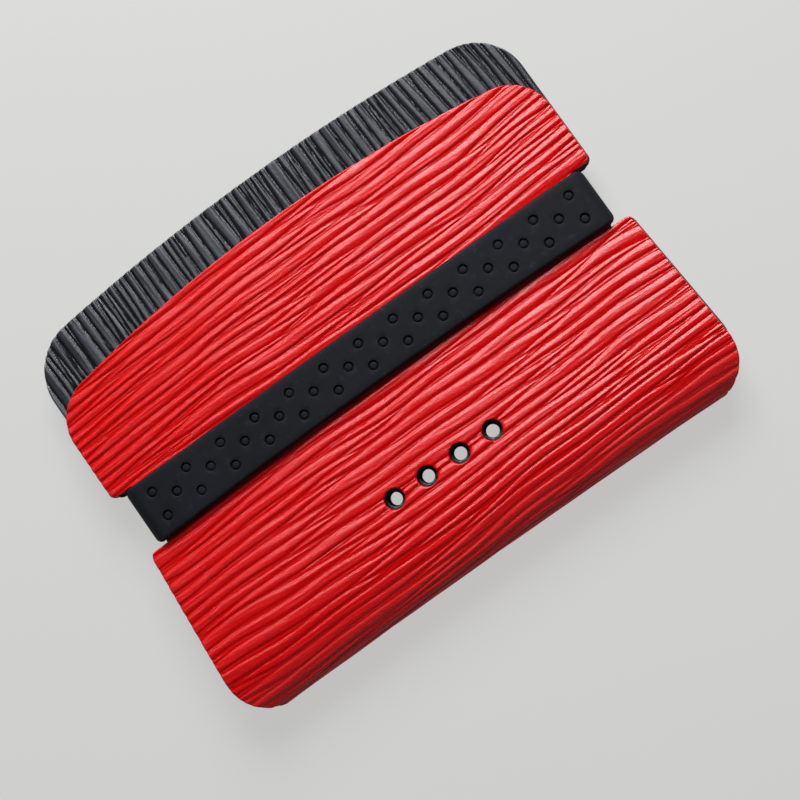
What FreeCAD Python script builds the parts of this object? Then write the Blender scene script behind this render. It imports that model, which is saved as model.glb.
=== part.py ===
"""Slim leather card wallet, as a parametric FreeCAD document.

Two leather sheets are folded in half, one inside the other, and a moulded band clamps both in the
notches of their side edges.  X runs across the wallet, +Y points to the open edge, and +Z points out
of the front face, so the wallet lies on its back.  The origin is the centre of that resting place.
"""

import FreeCAD, Part
import math
import os

import Sketcher

Vector = FreeCAD.Vector
Constraint = Sketcher.Constraint
START, END, CENTRE = 1, 2, 3
ORIGIN_POINT = (-1, 1)
HORIZONTAL_AXIS = -1
VERTICAL_AXIS = -2
FULL_TURN = 2 * math.pi
RIGHT_ANGLE = math.pi / 2

# Millimetres.  Every "_rise" is measured from the outside of the fold towards the open edge.
DIMENSIONS = {
    # outline of the red shell
    "shell_rise": 68.3,
    "shell_arch_radius": 237.0,
    "upper_half_width": 49.2,
    "lower_half_width": 51.2,
    "shell_corner_radius": 8.0,
    "fold_corner_radius": 8.8,
    "fold_margin": 0.3,
    # outline of the inner sleeve
    "total_rise": 76.8,
    "sleeve_arch_radius": 370.0,
    "sleeve_corner_radius": 9.8,
    "sleeve_inset": 0.2,
    "no_inset": 0.0,
    # notches that the band sits in
    "notch_half_width": 45.55,
    "notch_low_rise": 33.8,
    "notch_high_rise": 45.05,
    "notch_corner_radius": 1.0,
    # leather thicknesses, from the outside in
    "shell_thick": 1.2,
    "lining_thick": 0.4,
    "pocket_gap": 0.3,
    "sleeve_thick": 1.3,
    "centre_gap": 0.4,
    # side profile: a soft teardrop that bulges towards the fold
    "fold_tip_radius": 3.8,
    "fold_shoulder_radius": 30.0,
    "flat_start_rise": 33.0,
    # silicone band
    "band_width": 10.3,
    "band_low_rise": 34.55,
    "band_thick": 1.4,
    "band_corner_radius": 2.4,
    "band_edge_radius": 0.5,
    # living hinges, where the free leaves bend beside the band's upper edge
    "hinge_rise": 45.9,
    "hinge_relief": 0.05,
    # row of round holes through the lower half, smaller in the sleeve than in the shell
    "hole_radius": 1.75,
    "sleeve_hole_radius": 1.2,
    "hole_pitch": 6.6,
    "hole_rise": 17.2,
    # length of the fold that counts as the roll
    "roll_rise": 7.0,
}
# Cells worked out from the ones above.
FORMULAS = {
    "fold_y": "=-total_rise / 2",
    "leather_half_stack": "=shell_thick + lining_thick + pocket_gap + sleeve_thick + centre_gap / 2",
    "half_stack": "=leather_half_stack + band_thick",
    "sleeve_depth": "=shell_thick + lining_thick + pocket_gap",
    "shell_leaf": "=shell_thick + lining_thick",
    "leather_span": "=2 * lower_half_width + 2 * fold_corner_radius",
    "tall": "=4 * half_stack",
}
HOLE_COUNT = 4


def make_sheet(doc):
    """The spreadsheet of driving dimensions, and a function that reads it back."""
    sheet = doc.addObject("Spreadsheet::Sheet", "dims")
    cells = {**DIMENSIONS, **FORMULAS}
    for row, (alias, value) in enumerate(cells.items(), start=1):
        sheet.set(f"A{row}", alias)
        sheet.set(f"B{row}", str(value))
        sheet.setAlias(f"B{row}", alias)
    doc.recompute()
    return lambda alias: float(sheet.get(alias))


def bind(thing, **expressions):
    """Binds properties to expressions, in which a word is a cell of the sheet.  x__y means x.y."""
    for path, expression in expressions.items():
        thing.setExpression(path.replace("__", "."), cells_in(expression))


def cells_in(expression):
    """Puts the sheet's name before each of its aliases in an expression."""
    names = {**DIMENSIONS, **FORMULAS}
    words = expression.replace("(", "( ").replace(")", " )").split()
    return " ".join(f"dims.{word}" if word in names else word for word in words)


def constrain(sketch, name, constraint, expression):
    """Adds a dimension to a sketch, and drives it from the sheet."""
    index = sketch.addConstraint(constraint)
    sketch.renameConstraint(index, name)
    sketch.setExpression(f"Constraints.{name}", cells_in(expression))


# ---------------------------------------------------------------- side profile


def fold_line_sketch(doc, dim):
    """The outer surface of the folded shell, seen along X: an open line that starts above the front
    leaf, runs down it, round the teardrop of the fold and back up the back leaf."""
    fold_y, tip, shoulder = dim("fold_y"), dim("fold_tip_radius"), dim("fold_shoulder_radius")
    flat, bulge = dim("leather_half_stack"), dim("half_stack")
    drop = shoulder - bulge
    tip_y = fold_y + tip
    shoulder_y = tip_y + math.sqrt((shoulder - tip) ** 2 - drop**2)
    flat_y = fold_y + dim("flat_start_rise")
    end_y = dim("total_rise")

    # The straight run from the flat to the shoulder arc leaves that arc at a small angle.
    reach, climb = flat_y - shoulder_y, flat + drop
    slope = RIGHT_ANGLE - math.atan2(climb, reach) - math.acos(shoulder / math.hypot(reach, climb))
    lean = abs(slope)
    tip_angle = math.atan2(drop, tip_y - shoulder_y)

    sketch = doc.addObject("Sketcher::SketchObject", "fold_line")
    sketch.Placement = FreeCAD.Placement(Vector(), FreeCAD.Rotation(Vector(1, 1, 1), 120))

    def shoulder_arc(side):
        circle = Part.Circle(Vector(shoulder_y, -side * drop, 0), Vector(0, 0, 1), shoulder)
        if side > 0:
            return Part.ArcOfCircle(circle, RIGHT_ANGLE - lean, tip_angle)
        return Part.ArcOfCircle(circle, FULL_TURN - tip_angle, FULL_TURN - RIGHT_ANGLE + lean)

    def on_shoulder(side):
        return Vector(shoulder_y + shoulder * math.sin(lean), side * (shoulder * math.cos(lean) - drop), 0)

    tip_circle = Part.Circle(Vector(tip_y, 0, 0), Vector(0, 0, 1), tip)
    geometry = [
        Part.LineSegment(Vector(end_y, flat, 0), Vector(flat_y, flat, 0)),
        Part.LineSegment(Vector(flat_y, flat, 0), on_shoulder(1)),
        shoulder_arc(1),
        Part.ArcOfCircle(tip_circle, tip_angle, FULL_TURN - tip_angle),
        shoulder_arc(-1),
        Part.LineSegment(on_shoulder(-1), Vector(flat_y, -flat, 0)),
        Part.LineSegment(Vector(flat_y, -flat, 0), Vector(end_y, -flat, 0)),
    ]
    sketch.addGeometry(geometry, False)
    front, slope_front, arc_front, arc_tip, arc_back, slope_back, back = range(len(geometry))
    sketch.addConstraint(
        [
            Constraint("Coincident", front, END, slope_front, START),
            Constraint("Tangent", slope_front, END, arc_front, START),
            Constraint("Tangent", arc_front, END, arc_tip, START),
            Constraint("Tangent", arc_tip, END, arc_back, START),
            Constraint("Tangent", arc_back, END, slope_back, START),
            Constraint("Coincident", slope_back, END, back, START),
            Constraint("Horizontal", front),
            Constraint("Horizontal", back),
            Constraint("PointOnObject", arc_tip, CENTRE, HORIZONTAL_AXIS),
        ]
    )
    driven = [
        ("tip_place", Constraint("DistanceX", *ORIGIN_POINT, arc_tip, CENTRE, tip_y),
         "fold_y + fold_tip_radius"),
        ("tip_radius", Constraint("Radius", arc_tip, tip), "fold_tip_radius"),
        ("front_shoulder", Constraint("Radius", arc_front, shoulder), "fold_shoulder_radius"),
        ("back_shoulder", Constraint("Radius", arc_back, shoulder), "fold_shoulder_radius"),
        ("front_bulge", Constraint("DistanceY", arc_front, CENTRE, *ORIGIN_POINT, drop),
         "fold_shoulder_radius - half_stack"),
        ("back_bulge", Constraint("DistanceY", *ORIGIN_POINT, arc_back, CENTRE, drop),
         "fold_shoulder_radius - half_stack"),
    ]
    for name, line, side in (("front", front, START), ("back", back, END)):
        corner = START + END - side
        rise = [*ORIGIN_POINT, line, side] if name == "front" else [line, side, *ORIGIN_POINT]
        driven += [
            (f"{name}_end", Constraint("DistanceX", *ORIGIN_POINT, line, side, end_y), "total_rise"),
            (f"{name}_flat", Constraint("DistanceX", *ORIGIN_POINT, line, corner, flat_y),
             "fold_y + flat_start_rise"),
            (f"{name}_height", Constraint("DistanceY", *rise, flat), "leather_half_stack"),
        ]
    for name, constraint, expression in driven:
        constrain(sketch, name, constraint, expression)
    return sketch


def offset_line(doc, name, line, depth, filled):
    """A line parallel to another, that far inside it, or the strip between the two."""
    strip = doc.addObject("Part::Offset2D", name)
    strip.Source = line
    strip.Mode = "Skin"
    strip.Join = "Arc"
    strip.Fill = filled
    bind(strip, Value=f"-1 * {depth}")
    return strip


def folded_sheet(doc, name, line, depth, thickness):
    """A sheet of leather folded along the line, wider than the wallet."""
    if depth:
        line = offset_line(doc, f"{name}_line", line, depth, False)
        doc.recompute()
    strip = offset_line(doc, f"{name}_strip", line, thickness, True)
    sheet = doc.addObject("Part::Extrusion", f"{name}_sheet")
    sheet.Base = strip
    sheet.DirMode = "Custom"
    sheet.Dir = Vector(1, 0, 0)
    sheet.Solid = True
    sheet.Symmetric = True
    bind(sheet, LengthFwd="leather_span")
    return sheet


# --------------------------------------------------------------- front outline


def rounded(before, corner, after, radius):
    """The arc that rounds a corner between two straight sides."""
    inward, outward = (before - corner).normalize(), (after - corner).normalize()
    half = inward.getAngle(outward) / 2
    reach = radius / math.tan(half)
    centre = corner + (inward + outward).normalize() * (radius / math.sin(half))
    first, last = corner + inward * reach, corner + outward * reach
    middle = centre + (corner - centre).normalize() * radius
    return Part.Arc(first, middle, last)


def outline_body(doc, dim, name, top, inset, bottom):
    """The outline of one folded sheet, as a tall prism that cuts it out.  The right half is a padded
    sketch with its rounded corners and its notch, and the left half mirrors it."""
    body = doc.addObject("PartDesign::Body", f"{name}_outline")
    planes = {feature.Role: feature for feature in body.Origin.OriginFeatures}
    sketch = body.newObject("Sketcher::SketchObject", f"{name}_outline_sketch")
    sketch.AttachmentSupport = (planes["XY_Plane"], [""])
    sketch.MapMode = "FlatFace"

    fold_y = dim("fold_y")
    upper, lower = dim("upper_half_width") - dim(inset), dim("lower_half_width") - dim(inset)
    notch = dim("notch_half_width")
    notch_low, notch_high = fold_y + dim("notch_low_rise"), fold_y + dim("notch_high_rise")
    small, corner = dim("notch_corner_radius"), dim(f"{name}_corner_radius")
    base = fold_y + dim(bottom) - dim("fold_margin")
    arch_radius = dim(f"{name}_arch_radius")
    arch_y = fold_y + dim(top) - arch_radius

    # Where the top corner's arc meets the arch, both centres and the meeting point are in line.
    corner_x = upper - corner
    corner_y = arch_y + math.sqrt((arch_radius - corner) ** 2 - corner_x**2)
    meeting = math.atan2(corner_y - arch_y, corner_x)

    foot = Vector(0, base, 0)
    fold_corner, hip = Vector(lower, base, 0), Vector(upper, notch_low, 0)
    notch_in_low, notch_in_high = Vector(notch, notch_low, 0), Vector(notch, notch_high, 0)
    shoulder, side_top = Vector(upper, notch_high, 0), Vector(upper, corner_y, 0)
    fold_arc = rounded(foot, fold_corner, hip, dim("fold_corner_radius"))
    hip_arc = rounded(fold_corner, hip, notch_in_low, small)
    shoulder_arc = rounded(notch_in_high, shoulder, side_top, small)
    top_circle = Part.Circle(Vector(corner_x, corner_y, 0), Vector(0, 0, 1), corner)
    arch_circle = Part.Circle(Vector(0, arch_y, 0), Vector(0, 0, 1), arch_radius)
    apex = Vector(0, arch_y + arch_radius, 0)
    geometry = [
        Part.LineSegment(foot, fold_arc.StartPoint),
        fold_arc,
        Part.LineSegment(fold_arc.EndPoint, hip_arc.StartPoint),
        hip_arc,
        Part.LineSegment(hip_arc.EndPoint, notch_in_low),
        Part.LineSegment(notch_in_low, notch_in_high),
        Part.LineSegment(notch_in_high, shoulder_arc.StartPoint),
        shoulder_arc,
        Part.LineSegment(shoulder_arc.EndPoint, side_top),
        Part.ArcOfCircle(top_circle, 0, meeting),
        Part.ArcOfCircle(arch_circle, meeting, RIGHT_ANGLE),
        Part.LineSegment(apex, foot),
    ]
    sketch.addGeometry(geometry, False)
    (base_line, fold_round, low_side, hip_round, low_wall, notch_floor, high_wall, high_round,
     high_side, top_round, arch_line, centre_line) = range(len(geometry))
    # Two construction points stand where the slanted side would meet the base and the notch wall.
    first_point = len(geometry)
    sketch.addGeometry([Part.Point(fold_corner), Part.Point(hip)], True)
    base_point, hip_point = first_point, first_point + 1

    def arc_ends(geo, line_before, line_after):
        """Joins an arc to the two lines it rounds, whichever way round the sketch stored it."""
        stored = sketch.Geometry[geo]
        before = sketch.Geometry[line_before].EndPoint
        at_start = (stored.StartPoint - before).Length < (stored.EndPoint - before).Length
        near, far = (START, END) if at_start else (END, START)
        sketch.addConstraint(Constraint("Tangent", line_before, END, geo, near))
        sketch.addConstraint(Constraint("Tangent", geo, far, line_after, START))

    arc_ends(fold_round, base_line, low_side)
    arc_ends(hip_round, low_side, low_wall)
    arc_ends(high_round, high_wall, high_side)
    sketch.addConstraint(
        [
            Constraint("Coincident", low_wall, END, notch_floor, START),
            Constraint("Coincident", notch_floor, END, high_wall, START),
            Constraint("Tangent", high_side, END, top_round, START),
            Constraint("Tangent", top_round, END, arch_line, START),
            Constraint("Coincident", arch_line, END, centre_line, START),
            Constraint("Coincident", centre_line, END, base_line, START),
            Constraint("PointOnObject", arch_line, CENTRE, VERTICAL_AXIS),
            Constraint("PointOnObject", arch_line, END, VERTICAL_AXIS),
            Constraint("Vertical", centre_line),
            Constraint("Horizontal", base_line),
            Constraint("Horizontal", low_wall),
            Constraint("Vertical", notch_floor),
            Constraint("Horizontal", high_wall),
            Constraint("Vertical", high_side),
            Constraint("PointOnObject", base_point, START, base_line),
            Constraint("PointOnObject", base_point, START, low_side),
            Constraint("PointOnObject", hip_point, START, low_wall),
            Constraint("PointOnObject", hip_point, START, low_side),
        ]
    )

    def across(geo, point, value):
        return Constraint("DistanceX", *ORIGIN_POINT, geo, point, value)

    def along(geo, point, value):
        return Constraint("DistanceY", *ORIGIN_POINT, geo, point, value)

    driven = [
        ("base_y", along(base_line, START, base), f"fold_y + {bottom} - fold_margin"),
        ("lower_half", across(base_point, START, lower), f"lower_half_width - {inset}"),
        ("hip_half", across(hip_point, START, upper), f"upper_half_width - {inset}"),
        ("notch_half", across(notch_floor, START, notch), "notch_half_width"),
        ("notch_low", along(notch_floor, START, notch_low), "fold_y + notch_low_rise"),
        ("notch_high", along(notch_floor, END, notch_high), "fold_y + notch_high_rise"),
        ("upper_half", across(high_side, END, upper), f"upper_half_width - {inset}"),
        ("fold_radius", Constraint("Radius", fold_round, dim("fold_corner_radius")),
         "fold_corner_radius"),
        ("hip_radius", Constraint("Radius", hip_round, small), "notch_corner_radius"),
        ("shoulder_radius", Constraint("Radius", high_round, small), "notch_corner_radius"),
        ("corner_radius", Constraint("Radius", top_round, corner), f"{name}_corner_radius"),
        ("arch_radius", Constraint("Radius", arch_line, arch_radius), f"{name}_arch_radius"),
        ("apex_y", along(arch_line, END, fold_y + dim(top)), f"fold_y + {top}"),
    ]
    for constraint_name, constraint, expression in driven:
        constrain(sketch, constraint_name, constraint, expression)

    pad = body.newObject("PartDesign::Pad", f"{name}_outline_pad")
    pad.Profile = sketch
    pad.SideType = "Symmetric"
    bind(pad, Length="tall")
    mirror = body.newObject("PartDesign::Mirrored", f"{name}_outline_mirror")
    mirror.Originals = [pad]
    mirror.MirrorPlane = (planes["YZ_Plane"], [""])
    body.Tip = mirror
    return body


# ------------------------------------------------------------ cutting to nodes


def common(doc, name, first, second):
    """What two shapes share."""
    shared = doc.addObject("Part::MultiCommon", name)
    shared.Shapes = [first, second]
    return shared


def hole_row(doc, name, radius):
    """A row of pins along X, where the holes go through."""
    pins = []
    for index in range(HOLE_COUNT):
        pin = doc.addObject("Part::Cylinder", f"{name}_{index}")
        steps = index - (HOLE_COUNT - 1) / 2
        bind(
            pin,
            Radius=radius,
            Height="tall",
            Placement__Base__x=f"{steps} * hole_pitch",
            Placement__Base__y="fold_y + hole_rise",
            Placement__Base__z="-1 * tall / 2",
        )
        pins.append(pin)
    row = doc.addObject("Part::Compound", f"{name}_row")
    row.Links = pins
    return row


def region(doc, name, low, high, front):
    """A box over the front or the back half of the wallet, between two rises from the fold."""
    box = doc.addObject("Part::Box", name)
    bind(
        box,
        Length="2 * leather_span",
        Width=f"{high} - ( {low} )",
        Height="tall",
        Placement__Base__x="-1 * leather_span",
        Placement__Base__y=f"fold_y + {low}",
        Placement__Base__z="0" if front else "-1 * tall",
    )
    return box


def roll_region(doc):
    """A box over both halves of the roll at the fold."""
    box = doc.addObject("Part::Box", "roll_region")
    bind(
        box,
        Length="2 * leather_span",
        Width="2 * roll_rise",
        Height="2 * tall",
        Placement__Base__x="-1 * leather_span",
        Placement__Base__y="fold_y - roll_rise",
        Placement__Base__z="-1 * tall",
    )
    return box


def flap_region(doc, name, depth, leaf, side):
    """The free part of a leaf: a half-round end on the hinge's axis, and all above it.  Depth is how
    far the leaf's outer face lies inside the shell's, and side is 1 in front and -1 behind."""
    above = region(doc, f"{name}_above", "hinge_rise", "2 * total_rise", side > 0)
    knuckle = doc.addObject("Part::Cylinder", f"{name}_knuckle")
    knuckle.Placement = FreeCAD.Placement(Vector(), FreeCAD.Rotation(Vector(0, 1, 0), 90))
    bind(
        knuckle,
        Radius=f"{leaf} / 2",
        Height="2 * leather_span",
        Placement__Base__x="-1 * leather_span",
        Placement__Base__y="fold_y + hinge_rise",
        Placement__Base__z=f"{side} * ( leather_half_stack - ( {depth} ) - {leaf} / 2 )",
    )
    whole = doc.addObject("Part::MultiFuse", f"{name}_region")
    whole.Shapes = [above, knuckle]
    return whole


def silicone_band(doc, dim):
    """The moulded loop: a rounded block padded along Y, with the leather's space pocketed out."""
    body = doc.addObject("PartDesign::Body", "silicone_band")
    planes = {feature.Role: feature for feature in body.Origin.OriginFeatures}

    def rectangle(name, half_width, half_height, across, upright, radius=None):
        """A centred rectangle on the XZ plane, with rounded corners where a radius is given."""
        sketch = body.newObject("Sketcher::SketchObject", name)
        sketch.AttachmentSupport = (planes["XZ_Plane"], [""])
        sketch.MapMode = "FlatFace"
        corners = [
            Vector(-half_width, -half_height, 0),
            Vector(half_width, -half_height, 0),
            Vector(half_width, half_height, 0),
            Vector(-half_width, half_height, 0),
        ]
        for index, start in enumerate(corners):
            sketch.addGeometry(Part.LineSegment(start, corners[(index + 1) % len(corners)]), False)
        for index in range(len(corners)):
            following = (index + 1) % len(corners)
            sketch.addConstraint(Constraint("Coincident", index, END, following, START))
            sketch.addConstraint(Constraint("Vertical" if index % 2 else "Horizontal", index))
        sketch.addConstraint(Constraint("Symmetric", 0, START, 1, END, *ORIGIN_POINT))
        constrain(sketch, "across", Constraint("DistanceX", 0, START, 0, END, 2 * half_width), across)
        constrain(sketch, "upright", Constraint("DistanceY", 1, START, 1, END, 2 * half_height), upright)
        return sketch

    half_width, half_stack = dim("notch_half_width"), dim("leather_half_stack")
    thick = dim("band_thick")
    outer = rectangle(
        "band_outer", half_width + thick, half_stack + thick,
        "2 * ( notch_half_width + band_thick )", "2 * half_stack",
    )
    block = body.newObject("PartDesign::Pad", "band_block")
    block.Profile = outer
    block.SideType = "Symmetric"
    bind(block, Length="band_width")
    doc.recompute()

    ends = body.newObject("PartDesign::Fillet", "band_ends")
    ends.Base = (block, edges_where(block, lambda edge: is_along(edge, Vector(0, 1, 0))))
    bind(ends, Radius="band_corner_radius")
    doc.recompute()

    def on_a_rim(edge):
        return all(abs(abs(vertex.Y) - dim("band_width") / 2) < 1e-6 for vertex in edge.Vertexes)

    rims = body.newObject("PartDesign::Fillet", "band_rims")
    rims.Base = (ends, edges_where(ends, on_a_rim))
    bind(rims, Radius="band_edge_radius")
    doc.recompute()

    inner = rectangle("band_inner", half_width, half_stack, "2 * notch_half_width", "2 * leather_half_stack")
    space = body.newObject("PartDesign::Pocket", "band_space")
    space.Profile = inner
    space.SideType = "Symmetric"
    bind(space, Length="2 * band_width")
    body.Tip = space
    bind(body, Placement__Base__y="fold_y + band_low_rise + band_width / 2")
    bind(body, Placement__Base__z="half_stack")
    return body


def edges_where(feature, test):
    """The names of a feature's edges that pass a test."""
    return [f"Edge{i}" for i, edge in enumerate(feature.Shape.Edges, start=1) if test(edge)]


def is_along(edge, direction):
    """Whether an edge is straight and parallel to a direction."""
    if len(edge.Vertexes) != 2:
        return False
    run = edge.Vertexes[1].Point - edge.Vertexes[0].Point
    return edge.Curve.TypeId == "Part::GeomLine" and run.cross(direction).Length < 1e-6 * run.Length


def build():
    """Makes the document, and returns it with its named sub-parts."""
    doc = FreeCAD.newDocument("card_wallet")
    dim = make_sheet(doc)

    fold_line = fold_line_sketch(doc, dim)
    doc.recompute()
    outlines = {
        "shell": outline_body(doc, dim, "shell", "shell_rise", "no_inset", "no_inset"),
        "sleeve": outline_body(doc, dim, "sleeve", "total_rise", "sleeve_inset", "sleeve_depth"),
    }
    doc.recompute()

    # Each layer: its depth under the shell's outer face, its thickness, and the outline and holes
    # that it is cut with.
    layers = {
        "shell": ("", "shell_thick", "shell"),
        "lining": ("shell_thick", "lining_thick", "shell"),
        "sleeve": ("sleeve_depth", "sleeve_thick", "sleeve"),
    }
    holes = {
        "shell": hole_row(doc, "shell_hole", "hole_radius"),
        "sleeve": hole_row(doc, "sleeve_hole", "sleeve_hole_radius"),
    }
    cut_out = {}
    for name, (depth, thickness, outline) in layers.items():
        sheet = folded_sheet(doc, name, fold_line, depth, thickness)
        blank = common(doc, f"{name}_blank", sheet, outlines[outline])
        cut_out[name] = doc.addObject("Part::Cut", f"{name}_cut")
        cut_out[name].Base = blank
        cut_out[name].Tool = holes[outline]

    # Below the hinge a leaf ends square, a little short of the half-round end of its free part.
    shell_stop = "hinge_rise - shell_leaf / 2 - hinge_relief"
    roll = roll_region(doc)
    regions = {
        "front_panel": region(doc, "front_panel_region", "roll_rise", shell_stop, True),
        "back_panel": region(doc, "back_panel_region", "roll_rise", shell_stop, False),
        "back_leaf": region(doc, "back_leaf_region", "roll_rise", "2 * total_rise", False),
        "front_flap": flap_region(doc, "front_flap", "0", "shell_leaf", 1),
        "sleeve_front_flap": flap_region(doc, "sleeve_front_flap", "sleeve_depth", "sleeve_thick", 1),
        "sleeve_back_flap": flap_region(doc, "sleeve_back_flap", "sleeve_depth", "sleeve_thick", -1),
    }
    nodes = {
        "shell_front_panel": ("shell", regions["front_panel"]),
        "shell_fold": ("shell", roll),
        "shell_back_leaf": ("shell", regions["back_leaf"]),
        "shell_front_flap": ("shell", regions["front_flap"]),
        "lining_front_panel": ("lining", regions["front_panel"]),
        "lining_fold": ("lining", roll),
        "lining_back_leaf": ("lining", regions["back_leaf"]),
        "lining_front_flap": ("lining", regions["front_flap"]),
        "sleeve_front_panel": ("sleeve", regions["front_panel"]),
        "sleeve_fold": ("sleeve", roll),
        "sleeve_back_panel": ("sleeve", regions["back_panel"]),
        "sleeve_front_flap": ("sleeve", regions["sleeve_front_flap"]),
        "sleeve_back_flap": ("sleeve", regions["sleeve_back_flap"]),
    }
    parts = []
    for name, (layer, zone) in nodes.items():
        part = common(doc, name, cut_out[layer], zone)
        # The layers are drawn about the middle of the stack, and the wallet rests on its back.
        bind(part, Placement__Base__z="half_stack")
        parts.append(part)
    parts.append(silicone_band(doc, dim))
    for part in parts:
        part.Label = part.Name
    doc.recompute()
    return doc, parts


def check(doc, parts):
    """Stops if any object failed to recompute, or a sub-part is empty or broken."""
    for thing in doc.Objects:
        if {"Invalid", "Error"} & set(thing.State):
            raise RuntimeError(f"{thing.Name} failed: {thing.State}")
    for part in parts:
        if part.Shape.isNull() or not part.Shape.isValid() or not part.Shape.Solids:
            raise RuntimeError(f"{part.Label} has no valid shape")


def write(parts):
    """Writes one STEP file for each sub-part."""
    os.makedirs("parts", exist_ok=True)
    for part in parts:
        part.Shape.exportStep(f"parts/{part.Label}.step")
        box = part.Shape.BoundBox
        print(
            f"{part.Label}: {len(part.Shape.Solids)} solid, {part.Shape.Volume:.1f} mm3, "
            f"y {box.YMin:.2f} to {box.YMax:.2f}, z {box.ZMin:.2f} to {box.ZMax:.2f}"
        )


document, sub_parts = build()
check(document, sub_parts)
write(sub_parts)
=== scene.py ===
"""A slim leather card wallet: two folded sheets of ribbed leather, clamped by a silicone band."""

import math

import bpy
import numpy as np
from mathutils import Matrix, Vector
from mathutils.geometry import delaunay_2d_cdt


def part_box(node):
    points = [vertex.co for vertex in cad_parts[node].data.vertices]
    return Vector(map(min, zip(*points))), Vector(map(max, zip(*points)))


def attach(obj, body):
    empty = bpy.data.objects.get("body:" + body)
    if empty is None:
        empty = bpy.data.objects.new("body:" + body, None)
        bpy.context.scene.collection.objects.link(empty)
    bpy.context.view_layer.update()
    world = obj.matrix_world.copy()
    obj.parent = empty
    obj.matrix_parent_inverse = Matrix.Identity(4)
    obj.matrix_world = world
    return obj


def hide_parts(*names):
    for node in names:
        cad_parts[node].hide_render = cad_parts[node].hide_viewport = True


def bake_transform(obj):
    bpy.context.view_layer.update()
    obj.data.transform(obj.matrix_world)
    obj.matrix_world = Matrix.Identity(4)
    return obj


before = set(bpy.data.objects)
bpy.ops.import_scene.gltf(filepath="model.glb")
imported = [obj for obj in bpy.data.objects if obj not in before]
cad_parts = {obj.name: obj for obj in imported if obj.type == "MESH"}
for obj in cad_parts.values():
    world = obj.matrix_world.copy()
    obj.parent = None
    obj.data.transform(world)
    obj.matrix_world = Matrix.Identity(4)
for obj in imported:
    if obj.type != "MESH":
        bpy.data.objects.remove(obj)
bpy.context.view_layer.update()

MM = 0.001

# --------------------------------------------------- places, from the CAD frame

FIRST, LAST = 0, 1  # the low and the high corner of a box
X, Y, Z = 0, 1, 2
FOLD_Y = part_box("shell_fold")[FIRST][Y]
RED_TOP_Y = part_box("shell_front_flap")[LAST][Y]
BLACK_TOP_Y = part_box("sleeve_front_flap")[LAST][Y]
BAND_LOW, BAND_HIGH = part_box("silicone_band")
MID_Z = (BAND_LOW[Z] + BAND_HIGH[Z]) / 2
BAND_MID_Y = (BAND_LOW[Y] + BAND_HIGH[Y]) / 2
BULGE = BAND_HIGH[Z] - MID_Z
RED_HALF_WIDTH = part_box("shell_front_flap")[LAST][X]
BLACK_HALF_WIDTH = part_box("sleeve_front_flap")[LAST][X]
FACE_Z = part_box("shell_front_flap")[LAST][Z]
FLAT_HALF_STACK = FACE_Z - MID_Z  # half the thickness beside the band
# How deep each layer's faces lie under the shell's outer face.
LINING_DEPTH = FACE_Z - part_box("shell_front_flap")[FIRST][Z]
LINING_BACK_DEPTH = FACE_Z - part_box("lining_front_flap")[FIRST][Z]
SLEEVE_DEPTH = FACE_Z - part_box("sleeve_front_flap")[LAST][Z]
SLEEVE_BACK_DEPTH = FACE_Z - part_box("sleeve_front_flap")[FIRST][Z]

# -------------------------------------------------- sizes repeated from the CAD

FLARE = 2.0 * MM  # how much wider each side is at the fold than at the top
RED_CORNER_RADIUS = 8.0 * MM
BLACK_CORNER_RADIUS = 9.8 * MM
FOLD_CORNER_RADIUS = 8.8 * MM
FOLD_MARGIN = 0.3 * MM
RED_ARCH_RADIUS = 237 * MM
BLACK_ARCH_RADIUS = 370 * MM
NOTCH_HALF_WIDTH = 45.55 * MM
NOTCH_LOW_Y = FOLD_Y + 33.8 * MM
NOTCH_HIGH_Y = FOLD_Y + 45.05 * MM
NOTCH_CORNER_RADIUS = 1.0 * MM
TIP_RADIUS = 3.8 * MM
SHOULDER_RADIUS = 30 * MM
FLAT_START_Y = FOLD_Y + 33.0 * MM
HOLE_RADIUS = 1.75 * MM
SLEEVE_HOLE_RADIUS = 1.2 * MM
HOLE_PITCH = 6.6 * MM
HOLE_COUNT = 4
HOLE_Y = FOLD_Y + 17.2 * MM
BAND_THICK = 1.4 * MM
BAND_CORNER_RADIUS = 2.4 * MM

# ----------------------------------------------------------- sizes of the looks

RIB_HEIGHT = 0.34 * MM
RED_RELIEF = 0.86  # the red ribs' share of that height
FOLD_FLATTENS = 0.28  # the share that they lose round the fold
FOLD_FLAT_REACH, FOLD_FLAT_FADE = 4 * MM, 16 * MM
MEAN_RIB = 0.62  # the relief that lies on the CAD's smooth surface
BAND_FLATTENS = 0.75  # the share of their height that ribs lose under the band
BAND_PINCH = 0.12 * MM  # how far the band presses into the shell
BAND_PINCH_FADE, BAND_PINCH_INSIDE = 1.6 * MM, 0.4 * MM

ACROSS_STEP = 0.15 * MM  # mesh step across the ribs
ALONG_STEP = 0.90 * MM  # mesh step along them
FINE_ALONG_STEP = 0.55 * MM
COARSE_STEP = 2.0 * MM  # mesh step on smooth and hidden faces
EDGE_STEP = 0.16 * MM  # step along a cut edge
NOTCH_STEP = 0.2 * MM
EDGE_RINGS = (0.07 * MM, 0.17 * MM, 0.30 * MM)  # rows of points inside a cut edge
HOLE_RINGS = tuple(inside * MM for inside in (0.07, 0.17, 0.30, 0.45, 0.60, 0.75, 0.90))
HOLE_SIDES = 64
EDGE_ROUND = 0.22 * MM
EDGE_BULGE = 0.05 * MM  # how far its middle bulges, as squeezed leather does
SHARP_ANGLE = math.radians(65)
CLEAR_OF_EDGE = 0.42 * MM
CLEAR_OF_RINGS = 0.15 * MM
# An area of a sheet's grid: its first and last distance s, and its steps in X and in s.
EVERYWHERE_COARSE = (-1.0, 1.0, COARSE_STEP, COARSE_STEP)

SLEEVE_SHIFT = 0.60 * MM  # the sleeve sits a little to the right in the shell
LINING_SPARE = 0.05 * MM  # how far the lining stands out of the shell's edge
LINING_GAP = 0.005 * MM

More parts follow.
